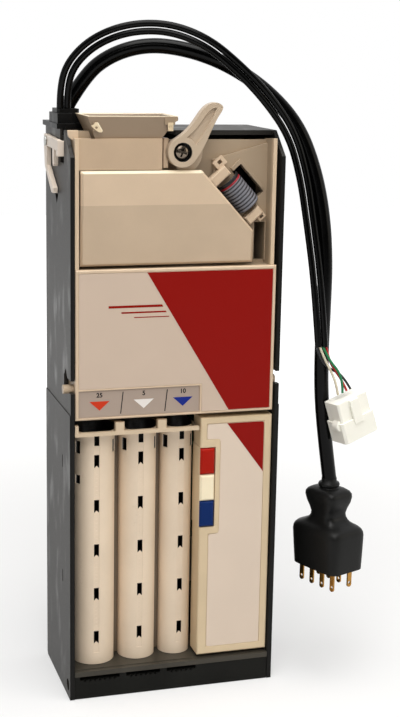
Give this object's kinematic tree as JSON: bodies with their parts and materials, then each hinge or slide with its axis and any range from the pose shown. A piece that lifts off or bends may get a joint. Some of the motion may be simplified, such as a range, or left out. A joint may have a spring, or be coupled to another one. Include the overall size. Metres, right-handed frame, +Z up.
{
  "type": "coin changer",
  "caption": "Vending coin changer: tall case with a tilting coin acceptor, a coin return lever, three coin tubes, a control cover with keys, and hanging cords.",
  "frame": {"origin": "centre of the case's footprint, on the surface it stands on", "axes": "+Z up, front faces -Y, +X to the right seen from the front"},
  "size_m": [0.2022, 0.1004, 0.4255],
  "materials": {
    "case_grey": "fine moulded texture",
    "base_grey": "moulded",
    "deck_plastic": "moulded",
    "beige": "satin moulded",
    "lever_beige": "satin moulded",
    "tube_ivory": "satin moulded",
    "print_sheet": "printed polycarbonate sheet",
    "label_grey": "printed sheet",
    "rubber": "moulded rubber",
    "cord_black": "extruded jacket",
    "key_red": "moulded",
    "key_white": "moulded",
    "key_blue": "moulded",
    "steel": "zinc plated",
    "slide_steel": "stamped",
    "core_steel": "laminated, varnished",
    "coil_steel": "plated",
    "coil_ferrite": "ferrite",
    "brass": "stamped",
    "nylon": "moulded nylon",
    "circuit_board": "solder mask",
    "can_sleeve": "shrink sleeve",
    "runway_plastic": "moulded",
    "ribbon_grey": "flat cable",
    "wire_red": "insulated wire",
    "wire_green": "insulated wire",
    "wire_cream": "insulated wire",
    "wire_black": "insulated wire"
  },
  "bodies": {
    "root": {"housing_shell": "case_grey", "housing_left_wall": "case_grey", "housing_right_wall": "case_grey", "base_tray": "base_grey", "payout_deck": "deck_plastic", "payout_solenoids": "coil_steel", "control_cover": "beige", "control_label": "print_sheet", "button_board": "circuit_board", "latch_pin": "steel", "cable_gland": "rubber", "logic_board": "circuit_board", "board_transformer": "core_steel", "board_capacitors": "can_sleeve", "board_connector": "nylon", "assembly_screws": "steel", "main_cable": "cord_black", "data_cable_a": "cord_black", "data_cable_b": "cord_black", "wire_red": "wire_red", "wire_green": "wire_green", "wire_cream": "wire_cream", "wire_black": "wire_black", "plug_body": "rubber", "plug_blades": "brass", "connector_housing": "nylon", "connector_contacts": "brass"},
    "latch": {"latch_clip": "beige"},
    "red_key": {"red_button": "key_red"},
    "white_key": {"white_button": "key_white"},
    "blue_key": {"blue_button": "key_blue"},
    "quarter_pusher": {"payout_slide_quarter": "slide_steel"},
    "nickel_pusher": {"payout_slide_nickel": "slide_steel"},
    "dime_pusher": {"payout_slide_dime": "slide_steel"},
    "cassette": {"cassette_frame": "beige", "quarter_tube": "tube_ivory", "nickel_tube": "tube_ivory", "dime_tube": "tube_ivory"},
    "acceptor": {"acceptor_chassis": "beige", "front_panel": "beige", "panel_overlay": "print_sheet", "coin_label": "label_grey", "inlet_funnel": "beige", "inlet_bar": "beige", "gate_hinge_pin": "steel", "lever_screw": "steel", "lever_spring": "steel", "ribbon_cable": "ribbon_grey", "ribbon_clamp_upper": "beige", "ribbon_clamp_lower": "beige", "coin_runway": "runway_plastic", "sensor_coils": "coil_ferrite", "accept_flap_pin": "steel", "accept_solenoid": "coil_steel"},
    "gate": {"gate_cover": "beige"},
    "lever": {"coin_return_lever": "lever_beige"},
    "flap": {"accept_flap": "runway_plastic"},
    "plunger": {"accept_plunger": "steel"}
  },
  "joints": [
    {"name": "acceptor_tilt", "type": "hinge", "parent": "root", "child": "acceptor", "pos_m": [0, -0.031, 0.2035], "axis": [1, 0, 0], "range_deg": [0, 40]},
    {"name": "lever_turn", "type": "hinge", "parent": "acceptor", "child": "lever", "pos_m": [0.0013, -0.0385, 0.3479], "axis": [0, 1, 0], "range_deg": [0, 30], "stiffness_Nm_per_rad": 0.06, "springref_deg": -17.19},
    {"name": "gate_open", "type": "hinge", "parent": "acceptor", "child": "gate", "pos_m": [0, -0.0328, 0.2837], "axis": [1, 0, 0], "range_deg": [0, 12]},
    {"name": "latch_flex", "type": "hinge", "parent": "root", "child": "latch", "pos_m": [-0.069, 0.02, 0.351], "axis": [1, 0, 0], "range_deg": [-6, 0], "stiffness_Nm_per_rad": 0.3, "springref_deg": 2.86},
    {"name": "cassette_slide", "type": "slide", "parent": "root", "child": "cassette", "axis": [0, -1, 0], "range_m": [0, 0.06]},
    {"name": "red_press", "type": "slide", "parent": "root", "child": "red_key", "axis": [0, 1, 0], "range_m": [0, 0.0015], "stiffness_N_per_m": 400},
    {"name": "white_press", "type": "slide", "parent": "root", "child": "white_key", "axis": [0, 1, 0], "range_m": [0, 0.0015], "stiffness_N_per_m": 400},
    {"name": "blue_press", "type": "slide", "parent": "root", "child": "blue_key", "axis": [0, 1, 0], "range_m": [0, 0.0015], "stiffness_N_per_m": 400},
    {"name": "quarter_push", "type": "slide", "parent": "root", "child": "quarter_pusher", "axis": [0, -1, 0], "range_m": [0, 0.016], "stiffness_N_per_m": 60},
    {"name": "nickel_push", "type": "slide", "parent": "root", "child": "nickel_pusher", "axis": [0, -1, 0], "range_m": [0, 0.016], "stiffness_N_per_m": 60},
    {"name": "dime_push", "type": "slide", "parent": "root", "child": "dime_pusher", "axis": [0, -1, 0], "range_m": [0, 0.016], "stiffness_N_per_m": 60},
    {"name": "plunger_lift", "type": "slide", "parent": "acceptor", "child": "plunger", "axis": [0, 0, 1], "range_m": [0, 0.004]},
    {"name": "flap_turn", "type": "hinge", "parent": "acceptor", "child": "flap", "pos_m": [-0.028, -0.014, 0.2245], "axis": [0, 1, 0], "range_deg": [-17, 0]}
  ],
  "couplings": [
    {"joint": "gate_open", "follows": "lever_turn", "ratio": 0.4},
    {"joint": "flap_turn", "follows": "plunger_lift", "rad_per_m": -70}
  ]
}
